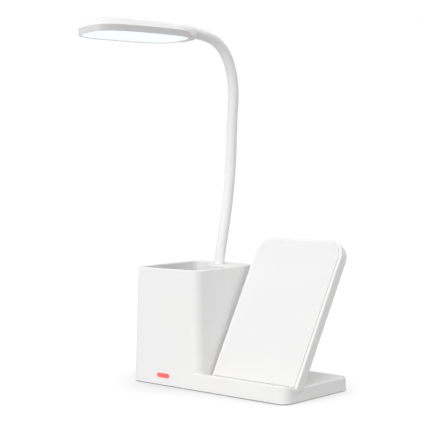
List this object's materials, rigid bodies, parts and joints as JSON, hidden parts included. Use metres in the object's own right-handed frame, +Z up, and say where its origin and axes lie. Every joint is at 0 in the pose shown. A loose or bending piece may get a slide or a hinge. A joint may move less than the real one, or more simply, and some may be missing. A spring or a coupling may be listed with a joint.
{
  "type": "desk lamp",
  "caption": "Gooseneck desk lamp whose base is a square pen pot with a low tray and a leaning wireless charging plate.",
  "frame": {"origin": "centre of the base, on the surface that its rubber feet stand on", "axes": "+X towards the charging tray, -Y the front, +Z up"},
  "size_m": [0.18, 0.1824, 0.3167],
  "materials": {
    "housing_white": "satin moulded",
    "cup_white": "satin moulded",
    "plate_white": "satin moulded",
    "plate_panel": "smooth satin",
    "head_white": "satin moulded",
    "cover_white": "fine texture",
    "foot_rubber": "matte",
    "sleeve_rubber": "smooth matte",
    "steel": "zinc plated",
    "hose_steel": "spiral wound",
    "brass": "turned",
    "copper": "enamelled wire",
    "board_green": "solder mask",
    "board_white": "white solder mask",
    "chip_black": "moulded",
    "ferrite": "sintered",
    "foam": "open cell",
    "lens_red": "translucent",
    "diffuser_white": "opal",
    "led_yellow": "phosphor",
    "led_red": "clear epoxy"
  },
  "bodies": {
    "base": {"ballast_plate": "steel", "base_ferrule": "brass", "base_housing": "housing_white", "board_components": "chip_black", "board_screws": "steel", "bottom_cover": "cover_white", "charger_board": "board_green", "charger_components": "chip_black", "charging_coil": "copper", "clamp_nut": "steel", "clamp_washer": "steel", "coil_pad": "foam", "control_board": "board_green", "cover_screws": "steel", "ferrite_sheet": "ferrite", "indicator_board": "board_green", "indicator_leds": "led_red", "indicator_lens": "lens_red", "neck_hose_0": "hose_steel", "neck_sleeve_0": "sleeve_rubber", "pen_cup": "cup_white", "plate_face": "plate_panel", "plate_housing": "plate_white", "plate_screws": "steel", "rubber_feet": "foot_rubber", "touch_foil": "copper", "usb_c_socket": "steel"},
    "neck_link_1": {"neck_sleeve_1": "sleeve_rubber", "neck_hose_1": "hose_steel"},
    "neck_link_2": {"neck_sleeve_2": "sleeve_rubber", "neck_hose_2": "hose_steel"},
    "neck_link_3": {"neck_sleeve_3": "sleeve_rubber", "neck_hose_3": "hose_steel"},
    "neck_link_4": {"neck_sleeve_4": "sleeve_rubber", "neck_hose_4": "hose_steel"},
    "neck_link_5": {"neck_sleeve_5": "sleeve_rubber", "neck_hose_5": "hose_steel"},
    "neck_link_6": {"neck_sleeve_6": "sleeve_rubber", "neck_hose_6": "hose_steel"},
    "head": {"neck_sleeve_7": "sleeve_rubber", "neck_hose_7": "hose_steel", "head_band": "head_white", "diffuser": "diffuser_white", "head_shell": "head_white", "led_board": "board_white", "leds": "led_yellow", "head_screws": "steel", "head_collar": "head_white", "head_ferrule": "brass"}
  },
  "joints": [
    {"name": "neck_bend_1_fore_aft", "type": "hinge", "parent": "base", "child": "neck_link_1", "pos_m": [-0.0386, 0.02132, 0.11103], "axis": [1, 0, 0], "range_deg": [-30, 25]},
    {"name": "neck_bend_2_sideways", "type": "hinge", "parent": "neck_link_1", "child": "neck_link_2", "pos_m": [-0.0386, 0.0294, 0.14508], "axis": [0, 0.9724, -0.2334], "range_deg": [-30, 30]},
    {"name": "neck_bend_3_fore_aft", "type": "hinge", "parent": "neck_link_2", "child": "neck_link_3", "pos_m": [-0.0386, 0.03583, 0.17947], "axis": [1, 0, 0], "range_deg": [-30, 25]},
    {"name": "neck_bend_4_sideways", "type": "hinge", "parent": "neck_link_3", "child": "neck_link_4", "pos_m": [-0.0386, 0.03916, 0.2143], "axis": [0, 0.9984, -0.0558], "range_deg": [-30, 30]},
    {"name": "neck_bend_5_fore_aft", "type": "hinge", "parent": "neck_link_4", "child": "neck_link_5", "pos_m": [-0.0386, 0.04218, 0.24917], "axis": [1, 0, 0], "range_deg": [-30, 25]},
    {"name": "neck_bend_6_sideways", "type": "hinge", "parent": "neck_link_5", "child": "neck_link_6", "pos_m": [-0.0386, 0.03792, 0.28357], "axis": [0, 0.9348, 0.3551], "range_deg": [-30, 30]},
    {"name": "neck_bend_7_fore_aft", "type": "hinge", "parent": "neck_link_6", "child": "head", "pos_m": [-0.0386, 0.01288, 0.30612], "axis": [1, 0, 0], "range_deg": [-30, 25]}
  ]
}
